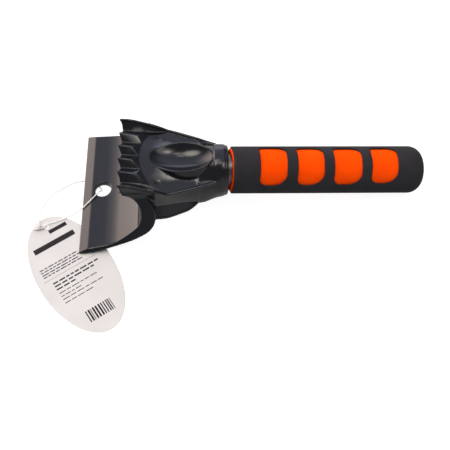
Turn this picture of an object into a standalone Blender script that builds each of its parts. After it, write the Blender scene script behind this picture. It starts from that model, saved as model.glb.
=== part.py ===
"""Handheld windshield ice scraper with a foam grip, a hang tag and its string.

Everything is laid out in millimetres and turned into metres when meshes are made.
The scraper lies on its blade: +X runs from the blade's edge to the end of the grip,
+Y across the blade and +Z up.  The head is drawn in its own frame, whose Z = 0 is the
flat underside; the handle's axis leans down in it.
"""
import math

import bmesh
import bpy
from mathutils import Matrix, Vector

MM = 0.001
GAP = 0.3                     # air between pieces that touch

# ---------------------------------------------------------------- driving sizes
LENGTH = 227.6                # blade edge to the end of the grip
BLADE_HALF = 48.0             # half the width of the blade at its underside
CHEEK_LEAN = 0.667            # how far the cheeks lean in for each mm of height
AXIS_HEIGHT = 26.8            # handle axis above the blade's edge, square to the axis
GRIP_R = 15.6                 # outside of the foam
GRIP_CORNER = 9.75            # rounding of the grip's closed end
GRIP_START = 99.7             # where the black foam layer begins along the axis
SLEEVE_START = 98.5           # where the orange foam sleeve begins
TUBE_R = 11.0
TUBE_WALL = 1.5
COLLAR_START = 89.0
COLLAR_R = 16.95              # the collar is a barrel, widest at its middle
COLLAR_RIM = 16.2
COLLAR_END = 98.0
SOCKET_START = 86.0
EDGE_LIFT = 1.15              # string and card under the blade's edge hold it up

# The axis leans so that blade and grip both meet the table.
_reach = LENGTH - GRIP_CORNER
_drop = AXIS_HEIGHT - (GRIP_R - GRIP_CORNER)
TILT = math.acos(GRIP_CORNER / math.hypot(_drop, _reach)) - math.atan2(_reach, _drop)
LIFT_TILT = math.atan(EDGE_LIFT / (_reach * math.cos(TILT)))


# ---------------------------------------------------------------- mesh helpers
def clear_scene():
    for old in list(bpy.data.objects):
        bpy.data.objects.remove(old, do_unlink=True)


def material(name, colour, metallic=0.0, roughness=0.5):
    mat = bpy.data.materials.new(name)
    mat.use_nodes = True
    shader = mat.node_tree.nodes["Principled BSDF"]
    shader.inputs["Base Color"].default_value = (*colour, 1.0)
    shader.inputs["Metallic"].default_value = metallic
    shader.inputs["Roughness"].default_value = roughness
    return mat


def make_object(name, verts, faces, mat=None, parent=None):
    """A mesh object from points in millimetres, its faces turned outwards."""
    mesh = bpy.data.meshes.new(name)
    mesh.from_pydata([[c * MM for c in v] for v in verts], [], faces)
    mesh.validate()
    bm = bmesh.new()
    bm.from_mesh(mesh)
    bmesh.ops.recalc_face_normals(bm, faces=bm.faces)
    bm.to_mesh(mesh)
    bm.free()
    obj = bpy.data.objects.new(name, mesh)
    bpy.context.collection.objects.link(obj)
    if mat is not None:
        mesh.materials.append(mat)
    obj.parent = parent
    return obj


def empty(name, location, rotation=(0, 0, 0), parent=None):
    obj = bpy.data.objects.new(name, None)
    obj.location = [c * MM for c in location]
    obj.rotation_euler = rotation
    obj.parent = parent
    bpy.context.collection.objects.link(obj)
    return obj


def loft(sections, closed_ends=True):
    """Faces through rings of equally many points, with a cap on each end."""
    count = len(sections[0])
    verts = [p for ring in sections for p in ring]
    faces = []
    for s in range(len(sections) - 1):
        for i in range(count):
            j = (i + 1) % count
            a, b = s * count, (s + 1) * count
            faces.append((a + i, a + j, b + j, b + i))
    if closed_ends:
        faces.append(tuple(range(count)))
        last = (len(sections) - 1) * count
        faces.append(tuple(range(last + count - 1, last - 1, -1)))
    return verts, faces


def prism(outline, low, high, along):
    """A closed outline pushed straight along Y or Z."""
    def place(a, b, t):
        return (a, t, b) if along == "Y" else (a, b, t)
    return loft([[place(a, b, t) for a, b in outline] for t in (low, high)])


def revolve(profile, segments=64):
    """A closed (x, radius) outline turned about the X axis."""
    rings = []
    for k in range(segments):
        turn = 2 * math.pi * k / segments
        rings.append([(x, -r * math.cos(turn), r * math.sin(turn)) for x, r in profile])
    count = len(profile)
    verts = [p for ring in rings for p in ring]
    faces = []
    for k in range(segments):
        n = (k + 1) % segments
        for i in range(count):
            j = (i + 1) % count
            faces.append((k * count + i, n * count + i, n * count + j, k * count + j))
    return verts, faces


def revolve_solid(profile, segments=64):
    """An open (x, radius) outline that starts and ends on the X axis, turned about it."""
    inner = profile[1:-1]
    verts = [(profile[0][0], 0, 0), (profile[-1][0], 0, 0)]
    for k in range(segments):
        turn = 2 * math.pi * k / segments
        verts += [(x, -r * math.cos(turn), r * math.sin(turn)) for x, r in inner]
    faces = []
    count = len(inner)
    for k in range(segments):
        a = 2 + k * count
        b = 2 + ((k + 1) % segments) * count
        faces.append((0, a, b))
        faces.append((1, b + count - 1, a + count - 1))
        for i in range(count - 1):
            faces.append((a + i, a + i + 1, b + i + 1, b + i))
    return verts, faces


def apply_boolean(obj, cutter, operation):
    """Add or take away a helper solid, then throw the helper away."""
    cutter.hide_render = True
    cutter.display_type = "WIRE"
    mod = obj.modifiers.new("cut", "BOOLEAN")
    mod.operation = operation
    mod.solver = "EXACT"
    mod.object = cutter
    graph = bpy.context.evaluated_depsgraph_get()
    result = bpy.data.meshes.new_from_object(obj.evaluated_get(graph))
    obj.modifiers.clear()
    old = obj.data
    obj.data = result
    bpy.data.meshes.remove(old)
    bpy.data.objects.remove(cutter, do_unlink=True)


def triangles(obj):
    """Split every face into triangles, each of them flat."""
    bm = bmesh.new()
    bm.from_mesh(obj.data)
    bmesh.ops.triangulate(bm, faces=bm.faces)
    bm.to_mesh(obj.data)
    bm.free()


def tidy(obj, merge=0.00004):
    """Merge near-doubled corners, make triangles and shade with crisp edges."""
    bm = bmesh.new()
    bm.from_mesh(obj.data)
    bmesh.ops.remove_doubles(bm, verts=bm.verts, dist=merge)
    bmesh.ops.dissolve_degenerate(bm, dist=merge / 4, edges=bm.edges)
    bmesh.ops.triangulate(bm, faces=bm.faces)
    bmesh.ops.recalc_face_normals(bm, faces=bm.faces)
    bm.to_mesh(obj.data)
    bm.free()
    obj.data.shade_smooth()
    obj.data.set_sharp_from_angle(angle=math.radians(35))


# ---------------------------------------------------------------- frames
def axis_point(along, radial=0.0):
    """Head-frame X and Z of a point at a distance along the handle's axis."""
    up = AXIS_HEIGHT + radial
    return (along * math.cos(TILT) + up * math.sin(TILT),
            -along * math.sin(TILT) + up * math.cos(TILT))


DOME = 0.15                   # how far the grip's end swells past its rounded rim
_rim_x, _rim_z = axis_point(LENGTH - DOME, GRIP_R - GRIP_CORNER)
END_X = _rim_x * math.cos(LIFT_TILT) + _rim_z * math.sin(LIFT_TILT)
# A foam facet's lowest corner lies on the rounding of the grip's end.
CONTACT_X = _reach * math.cos(TILT) + (_drop) * math.sin(TILT)
LIFT_Z = GRIP_CORNER - (-CONTACT_X * math.sin(LIFT_TILT) + GRIP_CORNER * math.cos(LIFT_TILT))
START_X = -END_X / 2


# ---------------------------------------------------------------- head
# Height of the crown and the comb over seven stations.  Across a station run six
# points: middle valley, inner crest, valley, outer crest, last valley and side ridge.
COMB_Y = (0.0, 5.1, 10.1, 15.1, 20.6, 26.4)
HULL_STATIONS = (
    # x, widths of the six top points, heights of the six top points
    (30.0, COMB_Y, (42.5, 46.4, 42.4, 46.0, 41.2, 45.5)),
    (38.5, COMB_Y, (40.9, 43.9, 40.8, 43.7, 39.6, 44.0)),
    (43.2, (0.0, 5.1, 10.3, 15.2, 21.2, 26.4), (40.3, 40.2, 39.7, 42.3, 38.3, 42.0)),
    (48.0, (0.0, 5.2, 10.5, 15.6, 22.0, 26.3), (40.0, 39.8, 39.0, 37.9, 36.3, 40.1)),
    (60.1, (0.0, 5.2, 10.5, 16.0, 22.8, 25.5), (39.4, 38.7, 36.3, 34.2, 33.2, 33.1)),
    (66.0, (0.0, 4.7, 9.4, 14.4, 20.0, 23.8), (39.0, 38.0, 35.6, 33.2, 32.4, 32.5)),
    (76.6, (0.0, 4.2, 8.5, 13.0, 17.4, 20.5), (38.6, 37.4, 34.6, 32.1, 31.4, 31.5)),
    (85.0, (0.0, 3.6, 7.3, 11.0, 14.6, 17.9), (38.6, 38.1, 36.8, 34.3, 31.8, 31.2)),
    (94.3, (0.0, 3.4, 6.8, 10.0, 12.9, 15.1), (37.6, 37.2, 36.2, 34.2, 31.8, 30.9)),
)
# Side wall and belly below each station: widths and heights from the ridge down.
SIDE_BOX = ((26.0, 30.0), (25.6, 19.2), (24.6, 18.6), (24.0, 2.6), (23.6, 0.0), (12.0, 0.0), (0.0, 0.0))
SIDE_STATIONS = (
    SIDE_BOX, SIDE_BOX, SIDE_BOX, SIDE_BOX,
    ((25.2, 26.0), (24.3, 19.2), (22.9, 18.7), (22.6, 2.4), (22.2, 0.3), (12.0, 0.1), (0.0, 0.1)),
    ((23.9, 26.0), (23.1, 19.0), (21.2, 18.5), (20.8, 3.0), (20.3, 0.8), (11.0, 0.8), (0.0, 0.8)),
    ((21.4, 25.0), (20.9, 16.8), (18.4, 15.6), (17.4, 8.4), (16.0, 3.1), (8.5, 3.0), (0.0, 3.0)),
    ((19.6, 24.0), (19.6, 17.1), (18.0, 12.2), (14.2, 8.6), (10.2, 6.6), (6.0, 5.8), (0.0, 5.5)),
    ((17.0, 24.0), (16.8, 19.0), (15.6, 13.8), (12.6, 9.9), (9.2, 7.6), (4.5, 6.1), (0.0, 5.7)),
)
# The comb's front leans back under its tips: x set back for each height.
COMB_FRONT = ((46.4, -0.6), (42.5, 1.1), (38.0, 1.7), (34.0, 1.9), (0.0, 1.9))

# The open jaw between blade and comb, seen from the side (x, z), low lip to high lip.
MOUTH = ((-6.0, 0.5), (0.0, 0.5), (6.0, 2.9), (12.4, 3.7), (18.6, 4.6), (24.2, 5.9), (27.9, 7.5),
         (32.0, 9.7), (35.8, 12.0), (38.6, 13.9), (40.6, 15.7), (42.0, 18.0), (42.8, 20.6),
         (42.9, 23.2), (42.2, 26.2), (41.0, 28.3), (39.2, 30.3), (37.4, 31.8), (35.0, 33.1),
         (32.4, 34.2), (29.0, 35.2), (-6.0, 35.2))
# The outside of the jaw, seen from the side, from the blade's edge round to the comb.
JAW_OUTSIDE = ((0.0, 0.0), (7.0, 0.3), (13.6, 1.3), (19.8, 2.7), (27.6, 4.6), (35.3, 6.7), (40.5, 8.6),
               (45.7, 11.0), (48.9, 13.4), (50.9, 16.1), (51.9, 19.3), (51.7, 23.4), (50.1, 27.4),
               (47.4, 30.6), (44.2, 32.7), (40.4, 34.0), (34.0, 35.0),
               (29.0, 35.4), (16.0, 20.0), (0.0, 0.6))
# Half widths of the flat underside, from the blade's edge back to the belly.
UNDERSIDE = ((0.2, 47.0), (7.0, 46.6), (13.0, 45.4), (19.0, 43.8), (27.0, 41.4), (34.0, 38.4), (39.0, 36.0),
             (44.0, 32.0), (47.0, 29.0), (49.5, 25.0), (51.5, 20.0), (51.5, 0.0))
HANG_HOLE_X = 14.0
HANG_HOLE_R = 5.4
# The thumb rest: a raised oval with a dish sunk in it.
THUMB_X = 70.3
THUMB_RIM_Z = 38.65
THUMB_RIM = (20.6, 12.0)      # half length and half width of the oval's top
THUMB_FOOT = (21.4, 15.0)     # the same 8 mm lower down
THUMB_FOOT_DROP = 8.0
DISH_Z = 49.2
DISH_AXES = (26.8, 15.6, 15.6)
SPIGOT_R = TUBE_R - TUBE_WALL - GAP
SPIGOT_END = 120.0
RAIL_R = 0.85


def comb_setback(z):
    for (z1, x1), (z0, x0) in zip(COMB_FRONT, COMB_FRONT[1:]):
        if z >= z0:
            return x0 + (x1 - x0) * (z - z0) / (z1 - z0)
    return COMB_FRONT[-1][1]


def mirrored(half):
    """A half section from top middle to bottom middle, closed by its mirror image."""
    return half + [(x, -y, z) for x, y, z in reversed(half[1:-1])]


def hull_sections():
    rings = []
    for index, (x, widths, heights) in enumerate(HULL_STATIONS):
        half = [(x, y, z) for y, z in zip(widths, heights)]
        half += [(x, y, z) for y, z in SIDE_STATIONS[index]]
        if index == 0:
            half = [(px + comb_setback(pz), py, pz) for px, py, pz in half]
        rings.append(mirrored(half))
    return rings


def jaw_block():
    """The curved jaw, its sides leaning in as cheeks."""
    reach = BLADE_HALF + 4
    jaw = make_object("jaw", *prism(JAW_OUTSIDE, -reach, reach, "Y"))
    low, high = -2.0, 36.5
    foot = BLADE_HALF - CHEEK_LEAN * low
    rim = BLADE_HALF - CHEEK_LEAN * high
    outline = [(-foot, low), (foot, low), (rim, high), (-rim, high)]
    rings = [[(x, y, z) for y, z in outline] for x in (-8.0, 60.0)]
    apply_boolean(jaw, make_object("flare", *loft(rings)), "INTERSECT")
    return jaw


def base_block():
    """The flat underside of blade and jaw, a little inside the cheeks."""
    half = [(x, y) for x, y in UNDERSIDE]
    outline = half[:-1] + [(x, -y) for x, y in reversed(half[:-1])]
    top = 11.5
    lean = CHEEK_LEAN * 0.4
    low = [(x, y, 0.0) for x, y in outline]
    high = [(x, y - math.copysign(lean * top, y), top) for x, y in outline]
    return make_object("base", *loft([low, high]))


def rail(side):
    """A rounded bead along the side ridge, from the comb back to the collar."""
    points = [Vector((s[0], side * (s[1][5] - 0.35), s[2][5] - 0.25)) for s in HULL_STATIONS[1:]]
    points.insert(0, Vector((30.4, side * 26.05, 45.0)))
    rings = []
    for i, p in enumerate(points):
        ahead = (points[min(i + 1, len(points) - 1)] - points[max(i - 1, 0)]).normalized()
        across = ahead.cross(Vector((0, 0, 1))).normalized()
        over = across.cross(ahead)
        ring = []
        for k in range(10):
            turn = 2 * math.pi * k / 10
            ring.append(tuple(p + across * math.cos(turn) * RAIL_R + over * math.sin(turn) * RAIL_R))
        rings.append(ring)
    return make_object("rail", *loft(rings))


def on_axis(obj):
    """Move a helper drawn along the handle's axis into the head's frame."""
    x, z = axis_point(0.0)
    move = Matrix.Translation(Vector((x, 0, z)) * MM) @ Matrix.Rotation(TILT, 4, "Y")
    obj.data.transform(move)
    return obj


def collar():
    edge = 1.3
    corner = [(COLLAR_END - edge + edge * math.sin(t), COLLAR_RIM - edge + edge * math.cos(t))
              for t in [math.radians(a) for a in (0, 22.5, 45, 67.5, 90)]]
    barrel = [(COLLAR_START, 0.0), (COLLAR_START, COLLAR_R - 0.9), (COLLAR_START + 1.5, COLLAR_R - 0.2),
              (COLLAR_START + 4, COLLAR_R), (COLLAR_START + 6.5, COLLAR_R - 0.2)]
    return on_axis(make_object("collar", *revolve_solid(barrel + corner + [(COLLAR_END, 0.0)])))


def socket():
    """The seat for the tube; the spigot is put back in its middle."""
    seat = TUBE_R + GAP
    profile = [(SOCKET_START, 0.0), (SOCKET_START, seat), (COLLAR_END + 6, seat), (COLLAR_END + 6, 0.0)]
    return on_axis(make_object("socket", *revolve_solid(profile)))


def spigot():
    root = SOCKET_START - 2.7
    profile = [(root, 0.0), (root, SPIGOT_R), (SPIGOT_END - 1, SPIGOT_R), (SPIGOT_END, SPIGOT_R - 1),
               (SPIGOT_END, 0.0)]
    return on_axis(make_object("spigot", *revolve_solid(profile, 60)))


def sphere(name, centre, radius, rings=24, segments=48):
    profile = [(centre[0] - radius * math.cos(math.pi * i / rings), radius * math.sin(math.pi * i / rings))
               for i in range(rings + 1)]
    profile[0] = (profile[0][0], 0.0)
    profile[-1] = (profile[-1][0], 0.0)
    obj = make_object(name, *revolve_solid(profile, segments))
    obj.data.transform(Matrix.Translation(Vector((0, centre[1], centre[2])) * MM))
    return obj


def oval_ring(half_length, half_width, z, count=64):
    turns = [2 * math.pi * (k + 0.5) / count for k in range(count)]
    return [(THUMB_X + half_length * math.cos(t), half_width * math.sin(t), z) for t in turns]


def thumb_oval():
    top = oval_ring(*THUMB_RIM, THUMB_RIM_Z)
    foot = oval_ring(*THUMB_FOOT, THUMB_RIM_Z - THUMB_FOOT_DROP)
    return make_object("oval", *loft([foot, top]))


def thumb_dish():
    dish = sphere("dish", (0.0, 0.0, 0.0), 1.0)
    stretch = Matrix.Diagonal((*DISH_AXES, 1.0))
    dish.data.transform(Matrix.Translation(Vector((THUMB_X, 0.0, DISH_Z)) * MM) @ stretch)
    return dish


def hang_hole():
    outline = [(HANG_HOLE_X + HANG_HOLE_R * math.cos(2 * math.pi * k / 40),
                HANG_HOLE_R * math.sin(2 * math.pi * k / 40)) for k in range(40)]
    return make_object("hole", *prism(outline, -3.0, 12.0, "Z"))


def build_head(frame, mat):
    head = make_object("scraper_head", *loft(hull_sections()), mat=mat)
    triangles(head)
    for helper in (jaw_block(), base_block(), collar(), rail(1), rail(-1), thumb_oval()):
        apply_boolean(head, helper, "UNION")
    mouth = make_object("mouth", *prism(MOUTH, -60.0, 60.0, "Y"))
    apply_boolean(head, mouth, "DIFFERENCE")
    apply_boolean(head, thumb_dish(), "DIFFERENCE")
    apply_boolean(head, hang_hole(), "DIFFERENCE")
    apply_boolean(head, socket(), "DIFFERENCE")
    apply_boolean(head, spigot(), "UNION")
    tidy(head)
    head.data.materials.clear()
    head.data.materials.append(mat)
    head.parent = frame
    return head


# ---------------------------------------------------------------- handle
TUBE_START = SOCKET_START + GAP
TUBE_END = 220.0
INNER_R = 14.2
OUTER_BORE = INNER_R + GAP
INNER_END = 220.5
# Windows through the black layer: start and end along the axis, then the turns of the
# lower and the upper side, in degrees round the grip from level up over the top.
WINDOWS = ((118.9, 136.0, 12.2, 124.3), (143.3, 160.1, 13.4, 121.3),
           (167.1, 184.8, 14.4, 119.2), (191.6, 208.4, 18.6, 120.7))
WINDOW_CORNER = 5.5


def build_tube(axis, mat):
    bore = TUBE_R - TUBE_WALL
    profile = [(TUBE_START, bore), (TUBE_START, TUBE_R), (TUBE_END, TUBE_R), (TUBE_END, bore)]
    tube = make_object("handle_tube", *revolve(profile), mat=mat, parent=axis)
    tidy(tube)
    return tube


def build_foam_inner(axis, mat):
    bore = TUBE_R + GAP
    profile = [(SLEEVE_START, bore), (SLEEVE_START, INNER_R), (INNER_END, INNER_R), (INNER_END, bore)]
    foam = make_object("foam_inner", *revolve(profile, 72), mat=mat, parent=axis)
    tidy(foam)
    return foam


def window_cutter(start, end, turn0, turn1):
    """A curved block with rounded corners, as seen on the unrolled grip."""
    corner = WINDOW_CORNER / (math.radians(1) * GRIP_R)
    bends = [corner * (1 - math.cos(math.radians(a))) for a in (0, 22.5, 45, 67.5, 90)]
    middle = 14
    straight = turn1 - turn0 - 2 * corner
    turns = [turn0 + bend for bend in bends]
    turns += [turn0 + corner + straight * k / middle for k in range(1, middle)]
    turns += [turn1 - bend for bend in reversed(bends)]
    low, high = INNER_R - 0.6, GRIP_R + 1.0
    rings = []
    for turn in turns:
        near = min(1.0, min(turn - turn0, turn1 - turn) / corner)
        inset = WINDOW_CORNER * min(0.92, 1 - math.sqrt(max(0.0, 1 - (1 - near) ** 2)))
        t = math.radians(turn)
        corners = ((start + inset, low), (end - inset, low), (end - inset, high), (start + inset, high))
        rings.append([(x, -r * math.cos(t), r * math.sin(t)) for x, r in corners])
    return make_object("window", *loft(rings))


def build_foam_outer(axis, mat):
    centre_x, centre_r = LENGTH - GRIP_CORNER, GRIP_R - GRIP_CORNER
    end_round = [(centre_x + GRIP_CORNER * math.sin(t), centre_r + GRIP_CORNER * math.cos(t))
                 for t in [math.radians(9 * k) for k in range(11)]]
    end_round[-1] = (LENGTH - DOME, end_round[-1][1])
    neck_round = [(GRIP_START, OUTER_BORE), (GRIP_START + 0.1, OUTER_BORE + 0.35),
                  (GRIP_START + 0.8, GRIP_R - 0.15), (GRIP_START + 1.6, GRIP_R)]
    cup_floor = INNER_END + GAP
    profile = [(cup_floor, 0.0), (cup_floor, OUTER_BORE)] + neck_round + end_round + [(LENGTH, 0.0)]
    foam = make_object("foam_outer", *revolve_solid(profile, 72), mat=mat)
    for half_turn in (0.0, 180.0):
        for start, end, below, above in WINDOWS:
            cutter = window_cutter(start, end, below + half_turn, above + half_turn)
            apply_boolean(foam, cutter, "DIFFERENCE")
    tidy(foam)
    foam.data.materials.clear()
    foam.data.materials.append(mat)
    foam.parent = axis
    return foam


# ---------------------------------------------------------------- tag and string
CARD_LONG, CARD_SHORT = 47.85, 25.0       # half axes of the oval card
CARD_CENTRE = (-1.4, -60.4)               # table position, blade edge at x = 0
CARD_TURN = math.radians(-57.6)
CARD_THICK = 0.35
CARD_HOLE = (-23.3, -26.1)
CARD_HOLE_R = 1.6
STRING_R = 0.35
KNOT = (-28.2, -26.6, 1.75)
# The elastic string leaves the knot, runs under the blade, comes up through the hang
# hole, crosses the blade's top and returns to the knot.
STRING_ROUTE = (
    (-28.4, -24.6, 1.45), (-28.6, -21.0, 1.15), (-28.5, -16.0, 0.6), (-27.6, -10.5, 0.42),
    (-25.6, -6.0, 0.42), (-21.0, 0.2, 0.42), (-15.4, 4.8, 0.42), (-8.8, 8.6, 0.42),
    (-1.0, 10.4, 0.42), (5.0, 9.2, 0.42), (9.6, 5.6, 0.42), (12.2, 2.2, 0.9), (12.3, 0.1, 2.8),
    (11.4, -2.0, 5.0), (9.6, -4.6, 5.6), (6.0, -8.4, 4.9), (1.6, -12.0, 3.1), (-2.0, -14.6, 1.9),
    (-8.0, -18.2, 1.1), (-15.0, -21.4, 1.05), (-22.0, -23.9, 1.15), (-25.8, -25.4, 1.45),
)


def smooth_route(points, steps):
    """A Catmull-Rom curve through the points, evenly stepped between them."""
    pts = [Vector(p) for p in points]
    pts = [pts[0] * 2 - pts[1]] + pts + [pts[-1] * 2 - pts[-2]]
    out = []
    for i in range(1, len(pts) - 2):
        p0, p1, p2, p3 = pts[i - 1:i + 3]
        for k in range(steps):
            t = k / steps
            out.append(0.5 * (2 * p1 + (p2 - p0) * t + (2 * p0 - 5 * p1 + 4 * p2 - p3) * t * t
                              + (3 * p1 - p0 - 3 * p2 + p3) * t * t * t))
    out.append(pts[-2])
    return out


def build_card(swing, mat):
    """The oval card, drawn round the swing axis."""
    outline = []
    for k in range(72):
        t = 2 * math.pi * k / 72
        a, b = CARD_LONG * math.cos(t), CARD_SHORT * math.sin(t)
        x = CARD_CENTRE[0] + a * math.cos(CARD_TURN) - b * math.sin(CARD_TURN)
        y = CARD_CENTRE[1] + a * math.sin(CARD_TURN) + b * math.cos(CARD_TURN)
        outline.append((x - KNOT[0], y - KNOT[1]))
    card = make_object("hang_tag", *prism(outline, 0.0, CARD_THICK, "Z"), mat=mat)
    ring = [(CARD_HOLE[0] - KNOT[0] + CARD_HOLE_R * math.cos(2 * math.pi * k / 20),
             CARD_HOLE[1] - KNOT[1] + CARD_HOLE_R * math.sin(2 * math.pi * k / 20)) for k in range(20)]
    apply_boolean(card, make_object("punch", *prism(ring, -1.0, 2.0, "Z")), "DIFFERENCE")
    tidy(card)
    card.data.materials.clear()
    card.data.materials.append(mat)
    card.parent = swing
    return card


def build_knot(swing, mat):
    """The bundle of turns that holds the string to the card's edge."""
    radius = 1.0
    knot = sphere("string_knot", (0.0, 0.0, KNOT[2]), radius, 10, 16)
    knot.data.materials.append(mat)
    knot.data.transform(Matrix.Diagonal((2.6, 1.5, 1.0, 1.0)))
    tidy(knot)
    knot.parent = swing
    return knot


def build_string(mat):
    curve = bpy.data.curves.new("tag_string", "CURVE")
    curve.dimensions = "3D"
    curve.bevel_depth = STRING_R * MM
    curve.bevel_resolution = 2
    curve.use_fill_caps = True
    points = smooth_route(STRING_ROUTE, 3)
    spline = curve.splines.new("POLY")
    spline.points.add(len(points) - 1)
    for slot, p in zip(spline.points, points):
        slot.co = ((p.x + START_X) * MM, p.y * MM, p.z * MM, 1.0)
    curve.materials.append(mat)
    obj = bpy.data.objects.new("tag_string", curve)
    bpy.context.collection.objects.link(obj)
    return obj


# ---------------------------------------------------------------- assembly
def build():
    clear_scene()
    black = material("head_plastic", (0.012, 0.013, 0.016), roughness=0.16)
    steel = material("tube_steel", (0.62, 0.61, 0.60), metallic=1.0, roughness=0.22)
    orange = material("orange_foam", (0.95, 0.13, 0.01), roughness=0.85)
    charcoal = material("black_foam", (0.035, 0.034, 0.036), roughness=0.9)
    card_stock = material("tag_card", (0.86, 0.85, 0.82), roughness=0.7)
    elastic = material("string_elastic", (0.82, 0.79, 0.74), roughness=0.8)
    thread = material("knot_elastic", (0.78, 0.75, 0.70), roughness=0.8)

    frame = empty("scraper_frame", (START_X, 0, LIFT_Z), (0, LIFT_TILT, 0))
    x, z = axis_point(0.0)
    axis = empty("handle_axis", (x, 0, z), (0, TILT, 0), parent=frame)
    swing = empty("tag_swing", (KNOT[0] + START_X, KNOT[1], 0))

    build_head(frame, black)
    build_tube(axis, steel)
    build_foam_inner(axis, orange)
    build_foam_outer(axis, charcoal)
    build_card(swing, card_stock)
    build_knot(swing, thread)
    build_string(elastic)


build()
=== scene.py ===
import math
import random
from collections import namedtuple

import bmesh
import bpy
import numpy as np
from mathutils import Matrix, Vector


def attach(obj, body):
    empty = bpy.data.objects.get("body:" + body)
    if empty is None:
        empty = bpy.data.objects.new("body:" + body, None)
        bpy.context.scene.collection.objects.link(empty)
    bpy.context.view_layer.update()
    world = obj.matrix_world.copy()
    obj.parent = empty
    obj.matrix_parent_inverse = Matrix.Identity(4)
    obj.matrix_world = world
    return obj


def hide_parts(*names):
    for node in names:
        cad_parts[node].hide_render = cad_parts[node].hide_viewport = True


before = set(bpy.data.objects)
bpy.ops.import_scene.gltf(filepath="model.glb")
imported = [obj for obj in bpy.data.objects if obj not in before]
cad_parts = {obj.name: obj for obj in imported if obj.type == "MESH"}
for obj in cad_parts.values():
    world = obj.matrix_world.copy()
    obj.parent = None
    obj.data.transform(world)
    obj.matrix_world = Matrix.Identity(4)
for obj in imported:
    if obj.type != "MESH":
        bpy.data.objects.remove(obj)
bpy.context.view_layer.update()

# Sizes are in millimetres, in the head's frame: x from the blade's edge to the grip's
# end, y across the blade, z up from the flat underside.  MM turns them into metres.
MM = 0.001
LENGTH = 227.6
BLADE_HALF = 48.0
CHEEK_LEAN = 0.667
AXIS_HEIGHT = 26.8
GRIP_R = 15.6
GRIP_CORNER = 9.75
GRIP_START = 99.7
SLEEVE_START = 98.5
TUBE_R = 11.0
TUBE_WALL = 1.5
COLLAR_R = 16.85
COLLAR_START = 89.0
COLLAR_FULL = 92.5       # where the collar is widest
COLLAR_BARREL = 56.0     # how slowly it narrows either side
COLLAR_END = 98.0
COLLAR_EDGE = 1.3        # the rounding of its rim
NECK_SHORT = 3.0
SOCKET_START = 86.0
EDGE_LIFT = 1.15
GAP = 0.3
DOME = 0.15

_reach = LENGTH - GRIP_CORNER
_drop = AXIS_HEIGHT - (GRIP_R - GRIP_CORNER)
TILT = math.acos(GRIP_CORNER / math.hypot(_drop, _reach)) - math.atan2(_reach, _drop)
LIFT_TILT = math.atan(EDGE_LIFT / (_reach * math.cos(TILT)))


def axis_point(along, radial=0.0):
    """Head-frame x and z of a point along the handle's axis."""
    up = AXIS_HEIGHT + radial
    return (along * math.cos(TILT) + up * math.sin(TILT),
            -along * math.sin(TILT) + up * math.cos(TILT))


_rim_x, _rim_z = axis_point(LENGTH - DOME, GRIP_R - GRIP_CORNER)
END_X = _rim_x * math.cos(LIFT_TILT) + _rim_z * math.sin(LIFT_TILT)
START_X = -END_X / 2
_contact_x = _reach * math.cos(TILT) + _drop * math.sin(TILT)
LIFT_Z = GRIP_CORNER - (-_contact_x * math.sin(LIFT_TILT) + GRIP_CORNER * math.cos(LIFT_TILT))

# From the head's frame, and from the handle's frame, to the row frame (metres).
HEAD_TO_ROW = Matrix.Translation(Vector((START_X, 0, LIFT_Z)) * MM) @ Matrix.Rotation(LIFT_TILT, 4, "Y")
_ax, _az = axis_point(0.0)
HANDLE_TO_ROW = HEAD_TO_ROW @ Matrix.Translation(Vector((_ax, 0, _az)) * MM) @ Matrix.Rotation(TILT, 4, "Y")
TABLE_TO_ROW = Matrix.Translation(Vector((START_X, 0, 0)) * MM)

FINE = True


# ------------------------------------------------------------------ camera
def make_camera():
    right = Vector((0.99946, -0.02965, -0.01443))
    up = Vector((0.03285, 0.85753, 0.51338))
    back = Vector((-0.00285, -0.51358, 0.85804))
    place = Vector((94.9, -280.6, 419.7)) * MM
    data = bpy.data.cameras.new("camera")
    data.sensor_width = 36.0
    data.lens = 58.6
    data.clip_start = 0.01
    data.clip_end = 10.0
    camera = bpy.data.objects.new("camera", data)
    turn = Matrix((right, up, back)).transposed().to_4x4()
    camera.matrix_world = HEAD_TO_ROW @ Matrix.Translation(place) @ turn
    bpy.context.collection.objects.link(camera)
    bpy.context.scene.camera = camera


make_camera()


# ------------------------------------------------------------------ mesh helpers
def mesh_object(name, verts, faces, to_row, mat):
    """A smooth mesh from points in millimetres, put in the row frame."""
    points = np.asarray(verts, float) * MM
    turn = np.array(to_row)
    points = points @ turn[:3, :3].T + turn[:3, 3]
    mesh = bpy.data.meshes.new(name)
    mesh.from_pydata(points.tolist(), [], faces)
    mesh.polygons.foreach_set("use_smooth", [True] * len(mesh.polygons))
    mesh.materials.append(mat)
    mesh.update()
    obj = bpy.data.objects.new(name, mesh)
    bpy.context.collection.objects.link(obj)
    return obj


def fix_normals(obj):
    bm = bmesh.new()
    bm.from_mesh(obj.data)
    bmesh.ops.recalc_face_normals(bm, faces=bm.faces)
    bm.to_mesh(obj.data)
    bm.free()
    return obj


def crisp(obj, degrees=40):
    obj.data.set_sharp_from_angle(angle=math.radians(degrees))
    return obj


def revolve(profile, segments):
    """A closed (x, radius) outline turned about the x axis."""
    turns = [2 * math.pi * k / segments for k in range(segments)]
    verts = [(x, -r * math.cos(t), r * math.sin(t)) for t in turns for x, r in profile]
    count = len(profile)
    faces = []
    for k in range(segments):
        a, b = k * count, ((k + 1) % segments) * count
        for i in range(count):
            j = (i + 1) % count
            faces.append((a + i, b + i, b + j, a + j))
    return verts, faces


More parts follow.
